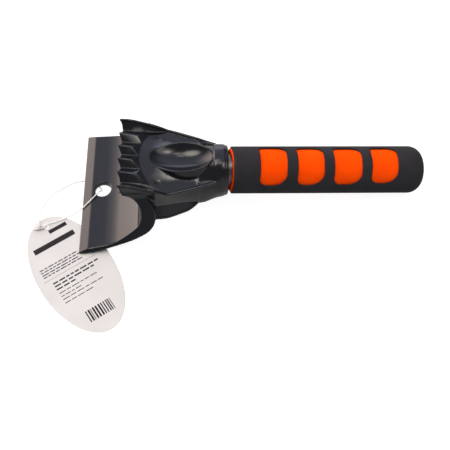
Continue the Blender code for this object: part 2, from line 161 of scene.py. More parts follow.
def smooth_route(points, steps):
    """A Catmull-Rom curve through the points, evenly stepped between them."""
    pts = [Vector(p) for p in points]
    pts = [pts[0] * 2 - pts[1]] + pts + [pts[-1] * 2 - pts[-2]]
    out = []
    for i in range(1, len(pts) - 2):
        p0, p1, p2, p3 = pts[i - 1:i + 3]
        for k in range(steps):
            t = k / steps
            out.append(0.5 * (2 * p1 + (p2 - p0) * t + (2 * p0 - 5 * p1 + 4 * p2 - p3) * t * t
                              + (3 * p1 - p0 - 3 * p2 + p3) * t * t * t))
    out.append(pts[-2])
    return out


def tube_mesh(points, radius, sides=12):
    """A closed tube along a line of points, its rings carried without twisting."""
    pts = [Vector(p) for p in points]
    ahead = (pts[1] - pts[0]).normalized()
    side = ahead.orthogonal().normalized()
    verts, faces = [], []
    for i, p in enumerate(pts):
        new = (pts[min(i + 1, len(pts) - 1)] - pts[max(i - 1, 0)]).normalized()
        side = (side - new * side.dot(new)).normalized()
        over = new.cross(side)
        r = radius(i / (len(pts) - 1)) if callable(radius) else radius
        for k in range(sides):
            t = 2 * math.pi * k / sides
            verts.append(tuple(p + side * (math.cos(t) * r) + over * (math.sin(t) * r)))
    for i in range(len(pts) - 1):
        for k in range(sides):
            j = (k + 1) % sides
            faces.append((i * sides + k, i * sides + j, (i + 1) * sides + j, (i + 1) * sides + k))
    faces.append(tuple(range(sides - 1, -1, -1)))
    last = (len(pts) - 1) * sides
    faces.append(tuple(range(last, last + sides)))
    return verts, faces


# ------------------------------------------------------------------ solids as fields
# A field is negative inside a solid and grows by about 1 for each millimetre outwards.
def smooth_min(a, b, k):
    h = np.clip(0.5 + 0.5 * (b - a) / k, 0, 1)
    return b + (a - b) * h - k * h * (1 - h)


def smooth_max(a, b, k):
    return -smooth_min(-a, -b, k)


def levelled(field, step):
    """The field divided by its own slope, so that it reads as a distance."""
    grads = np.gradient(field, *step)
    slope = np.sqrt(sum(g * g for g in grads))
    return field / np.clip(slope, 0.25, None)


def polygon_distance(u, v, outline):
    """Signed distance on a grid of (u, v) to a closed outline, negative inside."""
    best = np.full(np.broadcast(u, v).shape, 1e9)
    crossings = np.zeros(best.shape, int)
    for (u0, v0), (u1, v1) in zip(outline, outline[1:] + outline[:1]):
        du, dv = u1 - u0, v1 - v0
        t = np.clip(((u - u0) * du + (v - v0) * dv) / max(du * du + dv * dv, 1e-12), 0, 1)
        best = np.minimum(best, np.hypot(u - u0 - t * du, v - v0 - t * dv))
        spans = (v0 > v) != (v1 > v)
        if dv:
            crossings += spans & (u < u0 + (v - v0) * du / dv)
    return np.where(crossings % 2 == 1, -best, best)


def hermite(x, knots, values):
    """A smooth curve through the knots, which never overshoots a knot that is a high or low point."""
    knots, values = np.asarray(knots, float), np.asarray(values, float)
    slope = np.diff(values) / np.diff(knots)
    tangent = np.concatenate([[slope[0]], (slope[1:] + slope[:-1]) / 2, [slope[-1]]])
    flat = np.concatenate([[False], slope[1:] * slope[:-1] <= 0, [False]])
    tangent = np.where(flat, 0.0, tangent)
    x = np.clip(x, knots[0], knots[-1])
    i = np.clip(np.searchsorted(knots, x, side="right") - 1, 0, len(knots) - 2)
    width = knots[i + 1] - knots[i]
    t = (x - knots[i]) / width
    return ((1 + 2 * t) * (1 - t) ** 2 * values[i] + t * (1 - t) ** 2 * width * tangent[i]
            + t * t * (3 - 2 * t) * values[i + 1] + t * t * (t - 1) * width * tangent[i + 1])


def skin(field, origin, step):
    """Verts and quads of the field's zero surface, one vertex for each cell it crosses."""
    shape = np.array(field.shape)
    cells = tuple(shape - 1)
    total = np.zeros(cells + (3,), np.float32)
    count = np.zeros(cells, np.float32)
    inside = field < 0
    edges = []
    for axis in range(3):
        low = [slice(None)] * 3
        high = [slice(None)] * 3
        low[axis], high[axis] = slice(0, -1), slice(1, None)
        a, b = field[tuple(low)], field[tuple(high)]
        cut = inside[tuple(low)] != inside[tuple(high)]
        at = np.argwhere(cut)
        t = a[cut] / (a[cut] - b[cut])
        point = at.astype(np.float32)
        point[:, axis] += t
        turned = inside[tuple(low)][cut]
        edges.append((axis, at, turned))
        others = [n for n in range(3) if n != axis]
        for d0 in (0, 1):
            for d1 in (0, 1):
                cell = at.copy()
                cell[:, others[0]] -= d0
                cell[:, others[1]] -= d1
                good = np.all((cell >= 0) & (cell < np.array(cells)), axis=1)
                flat = np.ravel_multi_index(cell[good].T, cells)
                np.add.at(total.reshape(-1, 3), flat, point[good])
                np.add.at(count.reshape(-1), flat, 1.0)
    used = count > 0
    index = np.full(cells, -1, np.int64)
    index[used] = np.arange(used.sum())
    verts = total[used] / count[used][:, None]
    quads = []
    for axis, at, turned in edges:
        o0, o1 = [n for n in range(3) if n != axis]
        ring = []
        for d0, d1 in ((0, 0), (1, 0), (1, 1), (0, 1)):
            cell = at.copy()
            cell[:, o0] -= d0
            cell[:, o1] -= d1
            ring.append(index[cell[:, 0], cell[:, 1], cell[:, 2]])
        quad = np.stack(ring, axis=1)
        flip = turned if axis == 1 else ~turned
        quad[flip] = quad[flip][:, ::-1]
        quads.append(quad)
    return verts * step + origin, np.concatenate(quads).tolist()


# ------------------------------------------------------------------ head
COMB_START = 30.0
COMB_SIDES_END = 58.0         # the comb's raised sides stop here
KEEL_START = 79.0
HOOD_END = 80.0
BODY_END = 94.5
CROWN_X = (30.0, 38.5, 43.2, 48.0, 60.1, 66.0, 76.6, 85.0, 94.5)
CROWN_Y = ((0.0, 5.1, 10.1, 15.1, 20.6, 26.4), (0.0, 5.1, 10.1, 15.1, 20.6, 26.4),
           (0.0, 5.1, 10.3, 15.2, 21.2, 26.4), (0.0, 5.2, 10.5, 15.6, 22.0, 26.3),
           (0.0, 5.2, 10.5, 16.0, 22.8, 25.5), (0.0, 4.7, 9.4, 14.4, 20.0, 23.8),
           (0.0, 4.2, 8.5, 13.0, 17.4, 20.5), (0.0, 3.6, 7.3, 11.0, 14.6, 17.6),
           (0.0, 3.4, 6.8, 10.0, 12.6, 14.6))
CROWN_Z = ((42.5, 42.5, 42.4, 42.1, 41.2, 40.0), (40.9, 40.9, 40.8, 40.4, 39.6, 38.3),
           (40.3, 40.2, 39.8, 39.2, 38.3, 37.0), (40.0, 39.8, 39.0, 37.9, 36.3, 34.6),
           (39.3, 38.6, 36.3, 34.2, 33.1, 32.8), (38.9, 37.8, 35.6, 33.2, 32.3, 32.2),
           (38.5, 37.2, 34.6, 32.1, 31.3, 31.1), (38.5, 38.0, 36.8, 34.3, 31.5, 30.3),
           (37.6, 37.2, 36.2, 34.0, 31.3, 29.5))
TOOTH_Y = (0.0, 5.1, 10.1, 15.1, 20.6)            # valley, crest, valley, crest, valley
TOOTH_TALL = ((30.0, 4.0), (38.5, 3.2), (48.0, 2.6))
TOOTH_END = (42.8, 0.0153, 0.62)                  # x of the comb's back edge, its bow, its slope
RIDGE = ((30.0, 26.05, 45.3), (35.0, 26.1, 44.8), (38.5, 26.1, 43.8), (43.2, 26.05, 41.8),
         (48.0, 26.0, 39.7), (54.0, 25.8, 36.7), (60.1, 25.5, 32.9), (66.0, 23.8, 32.4),
         (76.6, 20.4, 31.4), (85.0, 17.5, 30.6), (94.0, 14.5, 29.8))
RIDGE_FOOT = ((30.0, 20.6), (38.5, 20.6), (43.2, 21.2), (48.0, 22.0), (54.0, 23.4), (60.1, 25.0))
WALL = (  # x, ridge (y, z), middle (y, z), foot (y, z)
    (30.0, 26.5, 45.5, 26.0, 30.0, 25.6, 19.2), (50.0, 26.4, 39.0, 25.8, 28.0, 25.3, 19.2),
    (60.1, 25.8, 32.9, 25.0, 26.0, 24.3, 19.2), (66.0, 24.1, 32.4, 23.8, 26.0, 23.1, 19.0),
    (76.6, 20.7, 31.4, 21.2, 25.0, 20.9, 16.8), (79.7, 19.9, 31.3, 20.6, 24.0, 20.4, 15.9),
    (84.0, 18.0, 30.6, 19.5, 24.0, 19.9, 17.0), (88.8, 16.4, 30.2, 18.0, 24.0, 18.1, 18.0),
    (94.5, 14.7, 29.8, 16.7, 24.0, 16.9, 20.0))
KEEL = (  # x, spring height and lowest z of the rounded bottom behind the pan
    (78.0, 16.0, 5.2), (84.0, 17.0, 5.8), (88.8, 18.0, 6.4), (94.5, 21.5, 5.6))
KEEL_BOX = 2.15
PAN = ((44.0, 23.6), (50.0, 23.6), (55.0, 23.4), (59.0, 22.8), (63.0, 21.6), (67.0, 20.4), (72.0, 18.9),
       (76.0, 16.6), (79.0, 14.0), (81.5, 11.0), (83.3, 7.0), (84.0, 0.0))
PAN_INSET = 0.5
PAN_LEAN = 0.62
PAN_TOP = 21.0
PAN_RISE = 0.0065
PAN_RISE_START = 55.0         # the pan's floor bends up behind this x
FLANGE_TALL = 2.3
COMB_FRONT = ((34.0, 1.9), (38.0, 1.7), (42.5, 1.1), (46.6, -0.6))
MOUTH = ((0.0, 0.5), (6.0, 2.9), (6.1, 2.93), (12.4, 3.7), (18.6, 4.6), (24.2, 5.9), (27.9, 7.5),
         (32.0, 9.7), (35.8, 12.0), (38.6, 13.9), (40.6, 15.7), (42.0, 18.0), (42.8, 20.6),
         (42.9, 23.2), (42.2, 26.2), (41.0, 28.3), (39.2, 30.3), (37.4, 31.8), (35.0, 33.1),
         (32.4, 34.2), (29.0, 35.2))
JAW_OUTSIDE = ((0.0, 0.0), (7.0, 0.3), (13.6, 1.3), (19.8, 2.7), (27.6, 4.6), (35.3, 6.7), (40.5, 8.6),
               (45.7, 11.0), (48.9, 13.4), (50.9, 16.1), (51.9, 19.3), (51.7, 23.4), (50.1, 27.4),
               (47.4, 30.6), (44.2, 32.7), (40.4, 34.0), (34.0, 35.0), (29.0, 35.4))
BASE_LEAN = 0.27
BASE_TOP = 11.5
UNDERSIDE = ((0.2, 47.0), (7.0, 46.6), (13.0, 45.4), (19.0, 43.8), (27.0, 41.4), (34.0, 38.4), (39.0, 36.0),
             (44.0, 32.0), (47.0, 29.0), (49.5, 25.0), (51.5, 20.0), (51.5, 0.0))
SPIGOT_START = 84.5
SPIGOT_END = 120.0
SPIGOT_BORE = 2.0
HANG_HOLE_X = 13.8
HANG_HOLE_R = 5.6
THUMB_X = 70.3
THUMB_RIM = (20.4, 11.7, 38.6)                    # the oval's top: half length, half width, height
THUMB_FOOT = (21.1, 14.9, 30.6)                   # the same lower down, inside the crown
DISH_Z = 49.2
DISH_AXES = (26.8, 15.6, 15.6)
MARK = (54.7, 17.9, 2.0)      # a faint round mark on the crown: x, y and radius
MARK_DEEP = 0.18
RAIL_R = 0.85
RAIL_BEAD_R = 1.05
RAIL_END = 92.0
COMB_BEAD_R = 0.35
COMB_BEAD_TALL = 3.0          # height of the teeth where the beads run
COMB_BEAD_SINK = 0.15


def column(table, n):
    return [row[n] for row in table]


def smooth_outline(points, steps=4):
    flat = [(u, v, 0.0) for u, v in points]
    return [(p.x, p.y) for p in smooth_route(flat, steps)]


def top_height(x, y):
    """Height of the head's top over a grid of x and y: crown, comb teeth and side ridges."""
    height = np.zeros((len(x), len(y)))
    ys = [hermite(x, CROWN_X, column(CROWN_Y, n)) for n in range(6)]
    zs = [hermite(x, CROWN_X, column(CROWN_Z, n)) for n in range(6)]
    for i in range(len(x)):
        height[i] = hermite(y, [c[i] for c in ys], [c[i] for c in zs])
    tall = np.interp(x, *zip(*TOOTH_TALL))[:, None]
    tooth = np.interp(y, TOOTH_Y, (0, 1, 0, 1, 0))[None, :]
    tooth = np.sqrt(tooth ** 2 + 0.02 ** 2) - 0.02
    start, bow, slope = TOOTH_END
    ramp = np.clip((start + bow * y[None, :] ** 2 - x[:, None]) * slope, 0, None)
    comb = height + np.minimum(tall * tooth, ramp)
    ridge_x, ridge_y, ridge_z = zip(*RIDGE)
    crest = hermite(x, ridge_x, ridge_z)[:, None]
    crest_y = np.interp(x, ridge_x, ridge_y)[:, None]
    foot = np.interp(x, *zip(*RIDGE_FOOT))[:, None]
    rise = np.clip((y[None, :] - foot) / np.clip(crest_y - foot, 0.3, None), 0, 1)
    side = height + (crest - height) * rise
    side = np.where(x[:, None] < COMB_SIDES_END, side, height)
    top = np.maximum(comb, side)
    mark = np.hypot(x[:, None] - MARK[0], y[None, :] - MARK[1])
    return top - MARK_DEEP * np.clip((MARK[2] - mark) / 0.5, 0, 1)


def wall_width(x, z):
    """Half width of the side walls over a grid of x and z, through three points at each x."""
    xs = column(WALL, 0)
    y0, z0, y1, z1, y2, z2 = [np.interp(x, xs, column(WALL, n))[:, None] for n in range(1, 7)]
    z = np.clip(z[None, :], z2 - 2, z0 + 3)
    return (y0 * (z - z1) * (z - z2) / ((z0 - z1) * (z0 - z2))
            + y1 * (z - z0) * (z - z2) / ((z1 - z0) * (z1 - z2))
            + y2 * (z - z0) * (z - z1) / ((z2 - z0) * (z2 - z1)))


Grid = namedtuple("Grid", "x y z X Y Z along off step")


def head_grid(step):
    """A grid over the half of the head with y at or above 0."""
    x = np.arange(-2.0, 101.0, step)
    y = np.arange(0.0, 50.0, step)
    z = np.arange(-1.5, 49.0, step)
    X, Y, Z = x[:, None, None], y[None, :, None], z[None, None, :]
    # How far along the handle's axis, and how far from it.
    ax, az = axis_point(0.0)
    along = (X - ax) * math.cos(TILT) - (Z - az) * math.sin(TILT)
    above = (X - ax) * math.sin(TILT) + (Z - az) * math.cos(TILT)
    return Grid(x, y, z, X, Y, Z, along, np.sqrt(Y ** 2 + above ** 2), step)


def comb_front(g):
    """How far in front of the comb's curved front."""
    return (COMB_START + np.interp(g.z, *zip(*COMB_FRONT)))[None, None, :] - g.X


def shell_field(g):
    """The crown between its side walls, open below."""
    height = top_height(g.x, g.y)
    grad = np.gradient(height, g.step)
    steep = np.sqrt(1 + grad[0] ** 2 + grad[1] ** 2)
    top = (g.Z - height[:, :, None]) / steep[:, :, None]
    side = g.Y - wall_width(g.x, g.z)[:, None, :]
    shell = smooth_max(top, side, 0.6)
    shell = smooth_max(shell, comb_front(g), 0.35)
    return smooth_max(shell, g.X - BODY_END, 0.4)


def hood_field(g, shell):
    """The shell as far down as the foot of its walls."""
    foot = hermite(g.x, column(WALL, 0), column(WALL, 6))[:, None, None]
    return smooth_max(shell, np.maximum(foot - g.Z, g.X - HOOD_END), 0.5)


def keel_field(g, shell):
    """The shell behind the pan, with a rounded bottom."""
    round_x, spring, lowest = [np.array(column(KEEL, n)) for n in range(3)]
    spring = np.interp(g.x, round_x, spring)[:, None, None]
    lowest = np.interp(g.x, round_x, lowest)[:, None, None]
    width = np.interp(g.x, column(WALL, 0), column(WALL, 5))[:, None, None]
    fall = np.clip(spring - g.Z, 0, None) / (spring - lowest)
    ring = ((g.Y / width) ** KEEL_BOX + fall ** KEEL_BOX) ** (1 / KEEL_BOX)
    keel = smooth_max(shell, levelled((ring - 1) * 12.0, (g.step,) * 3), 0.8)
    return smooth_max(keel, KEEL_START - g.X, 1.5)


def pan_field(g):
    """The belly: a pan with leaning sides that stands on a thin flange."""
    (pan_start, _), (pan_end, _) = PAN[0], PAN[-1]
    outline = smooth_outline(PAN[:-1]) + [PAN[-1], (pan_end, -30.0), (pan_start, -30.0)]
    plan = polygon_distance(g.x[:, None], g.y[None, :], outline)[:, :, None]
    floor = PAN_RISE * np.clip(g.X - PAN_RISE_START, 0, None) ** 2
    lean = PAN_INSET + PAN_LEAN * np.clip(g.Z - floor - FLANGE_TALL, 0, None)
    side = (plan + lean) / math.hypot(1, PAN_LEAN)
    pan = np.maximum(side, np.maximum(floor + 0.6 - g.Z, g.Z - PAN_TOP))
    flange = smooth_max(plan, np.abs(g.Z - floor - FLANGE_TALL / 2) - FLANGE_TALL / 2, 0.6)
    return smooth_min(pan, flange, 0.3)


def jaw_field(g):
    """The curved jaw, its sides leaning in as cheeks."""
    outline = smooth_outline(JAW_OUTSIDE) + [(16.0, 20.0), (0.0, 0.6)]
    jaw = polygon_distance(g.x[:, None], g.z[None, :], outline)[:, None, :]
    cheek = (g.Y - (BLADE_HALF - CHEEK_LEAN * g.Z)) / math.hypot(1, CHEEK_LEAN)
    return smooth_max(jaw, cheek, 0.4)


def base_field(g):
    """The foot of the jaw, its sides leaning in from the flat underside."""
    outline = smooth_outline(UNDERSIDE[:-1]) + [(51.5, -20.0), (0.2, -20.0)]
    base = polygon_distance(g.x[:, None], g.y[None, :], outline)[:, :, None]
    return np.maximum(base + BASE_LEAN * g.Z, g.Z - BASE_TOP)


def mouth_field(g):
    """The open space between the blade and the comb."""
    outline = [(-9.0, 0.5)] + list(MOUTH[:2]) + smooth_outline(MOUTH[2:]) + [(-9.0, 35.2)]
    return polygon_distance(g.x[:, None], g.z[None, :], outline)[:, None, :]


def thumb_oval_field(g):
    rim_x, rim_y, rim_z = THUMB_RIM
    foot_x, foot_y, foot_z = THUMB_FOOT
    down = np.clip((rim_z - g.Z) / (rim_z - foot_z), 0, 1)
    half_x = rim_x + (foot_x - rim_x) * down
    half_y = rim_y + (foot_y - rim_y) * down
    oval = (np.hypot((g.X - THUMB_X) / half_x, g.Y / half_y) - 1) * 12.0
    oval = smooth_max(levelled(oval, (g.step,) * 3), g.Z - rim_z, 0.6)
    return np.maximum(oval, foot_z - g.Z)


def thumb_dish_field(g):
    long, wide, deep = DISH_AXES
    dish = np.sqrt(((g.X - THUMB_X) / long) ** 2 + (g.Y / wide) ** 2 + ((g.Z - DISH_Z) / deep) ** 2)
    return levelled((dish - 1) * deep, (g.step,) * 3)


def rail_field(g):
    """A round bar along each piece of the side ridge's line."""
    rail = np.full(np.broadcast(g.X, g.Y, g.Z).shape, 1e3)
    for a, b in zip(RIDGE, RIDGE[1:]):
        a = np.array(a)
        d = np.array(b) - a
        t = ((g.X - a[0]) * d[0] + (g.Y - a[1]) * d[1] + (g.Z - a[2]) * d[2]) / float(d @ d)
        t = np.clip(t, 0, 1)
        gap = np.sqrt((g.X - a[0] - t * d[0]) ** 2 + (g.Y - a[1] - t * d[1]) ** 2
                      + (g.Z - a[2] - t * d[2]) ** 2)
        rail = np.minimum(rail, gap - RAIL_R)
    return np.maximum(rail, np.maximum(comb_front(g), g.X - RAIL_END))


def collar_radius(g):
    return COLLAR_R - (g.along - COLLAR_FULL) ** 2 / COLLAR_BARREL


def neck_field(g):
    """The core of the collar, which the head's body blends into."""
    ends = np.maximum(COLLAR_START - g.along, g.along - COLLAR_END + NECK_SHORT)
    return np.maximum(g.off - collar_radius(g), ends)


def collar_field(g):
    """The barrel collar with its rounded rim."""
    past_r = g.off - collar_radius(g) + COLLAR_EDGE
    past_end = g.along - COLLAR_END + COLLAR_EDGE
    collar = (np.minimum(np.maximum(past_r, past_end), 0)
              + np.hypot(np.clip(past_r, 0, None), np.clip(past_end, 0, None)) - COLLAR_EDGE)
    return smooth_max(collar, COLLAR_START - g.along, 1.5)


def head_field(step):
    """The head for y at or above 0, on a grid; also the grid's own lines."""
    g = head_grid(step)
    shell = shell_field(g)
    body = smooth_min(hood_field(g, shell), keel_field(g, shell), 0.6)
    body = smooth_min(body, pan_field(g), 0.4)
    body = smooth_min(body, neck_field(g), 1.8)
    body = smooth_min(body, jaw_field(g), 1.2)
    body = smooth_min(body, base_field(g), 0.5)
    body = smooth_max(body, -mouth_field(g), 0.45)
    body = smooth_min(body, thumb_oval_field(g), 0.3)
    body = smooth_max(body, -thumb_dish_field(g), 0.7)
    body = smooth_min(body, rail_field(g), 0.2)
    body = smooth_min(body, collar_field(g), 1.4)
    socket = np.maximum(g.off - TUBE_R - GAP, SOCKET_START - g.along)
    body = smooth_max(body, -socket, 0.4)
    hole = np.hypot(g.X - HANG_HOLE_X, g.Y) - HANG_HOLE_R + 0 * g.Z
    body = smooth_max(body, -hole, 0.6)
    body = smooth_max(body, -g.Z + 0 * g.X + 0 * g.Y, 0.3)
    return body.astype(np.float32), (g.x, g.y, g.z)


def comb_edges():
    """The worn, rounded back edges of the comb's slanted facets, one bead along each."""
    start, bow, slope = TOOTH_END
    lines = []
    for side in (1, -1):
        for valley, crest in ((0, 1), (2, 1), (2, 3), (4, 3)):
            points = []
            for k in range(9):
                y = TOOTH_Y[valley] + (TOOTH_Y[crest] - TOOTH_Y[valley]) * (0.04 + 0.92 * k / 8)
                tooth = abs(y - TOOTH_Y[valley]) / abs(TOOTH_Y[crest] - TOOTH_Y[valley])
                x = start + bow * y ** 2 - COMB_BEAD_TALL * tooth / slope
                z = top_height(np.array([x]), np.array([y]))[0, 0]
                points.append((x, side * y, z - COMB_BEAD_SINK))
            lines.append(points)
    return [tube_mesh(points, COMB_BEAD_R, 10) for points in lines]


def rail_beads():
    """The smooth rounded tops of the two side ridges behind the comb."""
    ridge_x, ridge_y, ridge_z = zip(*RIDGE)
    stops = [48.0, 52.0, 56.0, 59.6, 60.6, 66.0, 71.0, 76.6, 81.0, 85.0, RAIL_END]
    beads = []
    for side in (1, -1):
        points = [(x, side * np.interp(x, ridge_x, ridge_y), np.interp(x, ridge_x, ridge_z)) for x in stops]
        beads.append(tube_mesh(points, lambda t: RAIL_BEAD_R * min(1.0, 0.15 + (1 - t) * 7), 20))
    return beads


def spigot():
    """The stub that carries the tube, in the head's frame."""
    radius = TUBE_R - TUBE_WALL - GAP
    profile = [(SPIGOT_START, SPIGOT_BORE), (SPIGOT_START, radius), (SPIGOT_END - 1, radius),
               (SPIGOT_END, radius - 1), (SPIGOT_END, SPIGOT_BORE)]
    verts, faces = revolve(profile, 48)
    turn = Matrix.Translation(Vector((_ax, 0, _az))) @ Matrix.Rotation(TILT, 4, "Y")
    return np.array([tuple(turn @ Vector(v)) for v in verts]), faces


def build_head(mat):
    step = 0.45 if FINE else 0.9
    half, (x, y, z) = head_field(step)
    whole = np.concatenate([half[:, :0:-1, :], half], axis=1)
    origin = np.array([x[0], -y[-1], z[0]])
    verts, quads = skin(whole, origin, (step,) * 3)
    for more, faces in [spigot()] + comb_edges() + rail_beads():
        base = len(verts)
        verts = np.concatenate([verts, more])
        quads += [tuple(i + base for i in f) for f in faces]
    obj = mesh_object("head_moulding", verts, quads, HEAD_TO_ROW, mat)
    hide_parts("scraper_head")
    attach(obj, "scraper")
    return obj


# ------------------------------------------------------------------ handle
TUBE_START = SOCKET_START + GAP
TUBE_END = 220.0
INNER_R = 14.2
INNER_END = 220.5
LAYER_BORE = INNER_R + GAP
WINDOWS = (  # start and end along the axis, then the turns of the lower and upper side
    (118.9, 136.0, 12.2, 124.3),
    (143.3, 160.1, 13.4, 121.3),
    (167.1, 184.8, 14.4, 119.2),
    (191.6, 208.4, 18.6, 120.7),
)
WINDOW_CORNERS = (5.0, 9.0, 6.5, 3.2)   # low start, low end, high end, high start
FRONT_TURN = 59.0                       # the foam's cut front stands back most on this side
WINDOW_BOW = 1.0                        # how far a window's sides swell towards the grip's end


def front_setback(turn):
    """How much later the foam begins at each turn round the grip, 0 to 1."""
    return np.clip(np.cos(np.radians(turn - FRONT_TURN)), 0, 1) ** 1.2


def build_tube(mat):
    bore = TUBE_R - TUBE_WALL
    profile = [(TUBE_START, bore + 0.2), (TUBE_START, TUBE_R - 0.2), (TUBE_START + 0.2, TUBE_R),
               (TUBE_END - 0.2, TUBE_R), (TUBE_END, TUBE_R - 0.2), (TUBE_END, bore + 0.2),
               (TUBE_END - 0.2, bore), (TUBE_START + 0.2, bore)]
    obj = mesh_object("metal_tube", *revolve(profile, 128), HANDLE_TO_ROW, mat)
    crisp(fix_normals(obj))
    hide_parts("handle_tube")
    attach(obj, "scraper")


def build_inner_foam(mat):
    bore = TUBE_R + GAP
    start = SLEEVE_START
    length = INNER_END - start
    steps = 60
    swell = 1.4                # the cut front of the soft sleeve is rounded over
    front = [(start + swell * (1 - math.cos(t)), INNER_R - swell * (1 - math.sin(t)))
             for t in [math.pi / 2 * k / 6 for k in range(7)]]
    outer = [(start + swell + (length - swell - 0.6) * k / steps, INNER_R) for k in range(1, steps + 1)]
    profile = [(start, bore)] + front + outer + [(INNER_END, INNER_R - 0.4), (INNER_END, bore)]
    verts, faces = revolve(profile, 144)
    verts = np.array(verts)
    back = front_setback(np.degrees(np.arctan2(verts[:, 2], -verts[:, 1])))
    verts[:, 0] += 2.3 * back * np.clip((start + 8.0 - verts[:, 0]) / 8.0, 0, 1)
    obj = mesh_object("orange_foam_sleeve", verts, faces, HANDLE_TO_ROW, mat)
    crisp(fix_normals(obj), 50)
    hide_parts("foam_inner")
    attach(obj, "scraper")


def outer_foam_field(step):
    x = np.arange(GRIP_START - 1.0, LENGTH + 1.5, step)
    y = np.arange(-GRIP_R - 1.2, GRIP_R + 1.2 + step, step)
    z = y.copy()
    X, Y, Z = x[:, None, None], y[None, :, None], z[None, None, :]
    off = np.hypot(Y, Z)
    past_r = off - (GRIP_R - GRIP_CORNER)
    past_end = X - (LENGTH - GRIP_CORNER)
    core = np.hypot(np.clip(past_r, 0, None), np.clip(past_end, 0, None))
    shell = core + np.minimum(np.maximum(past_r, past_end), 0) - GRIP_CORNER
    turn = np.degrees(np.arctan2(Z, -Y))
    body = smooth_max(shell, GRIP_START + 0.05 + 1.7 * front_setback(turn) - X + 0 * off, 1.0)
    bore = np.maximum(off - LAYER_BORE, X - INNER_END - GAP)
    body = smooth_max(body, -bore, 0.4)
    arc = math.radians(1) * GRIP_R
    low0, low1, high1, high0 = WINDOW_CORNERS
    for flip in (0.0, 180.0):
        for start, end, below, above in WINDOWS:
            around = (turn - (below + above) / 2 - flip + 180) % 360 - 180
            bowed = X + WINDOW_BOW * (around / 60.0) ** 2 - (start + end) / 2
            low_corner = np.where(bowed < 0, low0, low1)
            high_corner = np.where(bowed < 0, high0, high1)
            corner = np.where(around < 0, low_corner, high_corner)
            dx = np.abs(bowed) - ((end - start) / 2 - corner)
            dy = np.abs(around) * arc - ((above - below) / 2 * arc - corner)
            window = (np.hypot(np.clip(dx, 0, None), np.clip(dy, 0, None))
                      + np.minimum(np.maximum(dx, dy), 0) - corner)
            body = smooth_max(body, -np.maximum(window, 8.0 - off), 0.7)
    return body.astype(np.float32), (x, y, z)


def build_outer_foam(mat):
    step = 0.4 if FINE else 0.8
    field, (x, y, z) = outer_foam_field(step)
    origin = np.array([x[0], y[0], z[0]])
    verts, quads = skin(field, origin, (step,) * 3)
    obj = mesh_object("black_foam_layer", verts, quads, HANDLE_TO_ROW, mat)
    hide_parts("foam_outer")
    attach(obj, "scraper")


# ------------------------------------------------------------------ tag, knot and string
CARD_CENTRE = (-1.4, -60.4)
CARD_TURN = math.radians(-57.6)
CARD_THICK = 0.35
CARD_HOLE = (-23.3, -26.1)
STRING_R = 0.4
KNOT = (-28.2, -26.6, 1.75)
STRING_ROUTE = (
    (-28.4, -24.6, 1.45), (-28.6, -21.0, 1.15), (-28.5, -16.0, 0.6), (-27.6, -10.5, 0.42),
    (-25.6, -6.0, 0.42), (-21.0, 0.2, 0.42), (-15.4, 4.8, 0.42), (-8.8, 8.6, 0.42),
    (-1.0, 10.4, 0.42), (5.0, 9.2, 0.42), (9.6, 5.6, 0.42), (12.2, 2.2, 0.9), (12.3, 0.1, 2.8),
    (11.4, -2.0, 5.0), (9.6, -4.6, 5.6), (6.0, -8.4, 4.9), (1.6, -12.0, 3.1), (-2.0, -14.6, 1.9),
    (-8.0, -18.2, 1.1), (-15.0, -21.4, 1.05), (-22.0, -23.9, 1.15), (-25.8, -25.4, 1.45),
)


def card_point(u, v, z):
    """Table position of a point on the card: u along its lines of print, v down its length."""
    across = (-math.sin(CARD_TURN), math.cos(CARD_TURN))
    down = (math.cos(CARD_TURN), math.sin(CARD_TURN))
    return (CARD_CENTRE[0] + u * across[0] + v * down[0],
            CARD_CENTRE[1] + u * across[1] + v * down[1], z)


def build_card(mat):
    """The card is flat and already has its true outline, so it keeps its own solid."""
    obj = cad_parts["hang_tag"]
    obj.data.materials.clear()
    obj.data.materials.append(mat)
    return obj


def print_bars():
    """Plain bars in place of the card's print: u0, v0, u1, v1 on the card."""
    rng = random.Random(7)
    bars = [(-0.6, -37.8, 12.2, -34.8), (-16.0, -29.4, 13.5, -25.4), (-20.5, -4.05, 16.6, -3.85)]

    def words(u0, u1, v, tall, shortest, longest, gap):
        u = u0
        while u < u1 - shortest:
            end = min(u + rng.uniform(shortest, longest), u1)
            bars.append((u, v - tall / 2, end, v + tall / 2))
            u = end + gap
    for v in (-13.0, -11.0, -9.0, -7.1):
        words(-19.2, 8.7, v, 0.75, 1.6, 5.0, 0.7)
    for u1, v in ((16.6, -0.2), (12.3, 2.3), (-2.5, 4.85)):
        words(-16.0, u1, v, 1.05, 2.0, 6.0, 0.9)
    for u1, v in ((11.5, 8.1), (-1.4, 10.8), (12.8, 13.3), (5.3, 16.2)):
        words(-15.8, u1, v, 0.6, 1.8, 5.5, 0.8)
    u = -8.6
    while u < 8.6:
        wide = rng.choice((0.5, 0.8, 1.2))
        bars.append((u, 28.4, u + wide, 37.0))
        u += wide + rng.choice((0.5, 0.7, 0.9))
    return bars


def build_print(mat):
    verts, faces = [], []
    for u0, v0, u1, v1 in print_bars():
        base = len(verts)
        for z in (CARD_THICK - 0.08, CARD_THICK + 0.015):
            verts += [card_point(u, v, z) for u, v in ((u0, v0), (u1, v0), (u1, v1), (u0, v1))]
        faces += [[base + i for i in f] for f in ((0, 1, 2, 3), (7, 6, 5, 4), (0, 4, 5, 1), (1, 5, 6, 2),
                                                  (2, 6, 7, 3), (3, 7, 4, 0))]
    obj = mesh_object("tag_print", verts, faces, TABLE_TO_ROW, mat)
    crisp(fix_normals(obj), 20)
    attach(obj, "tag")


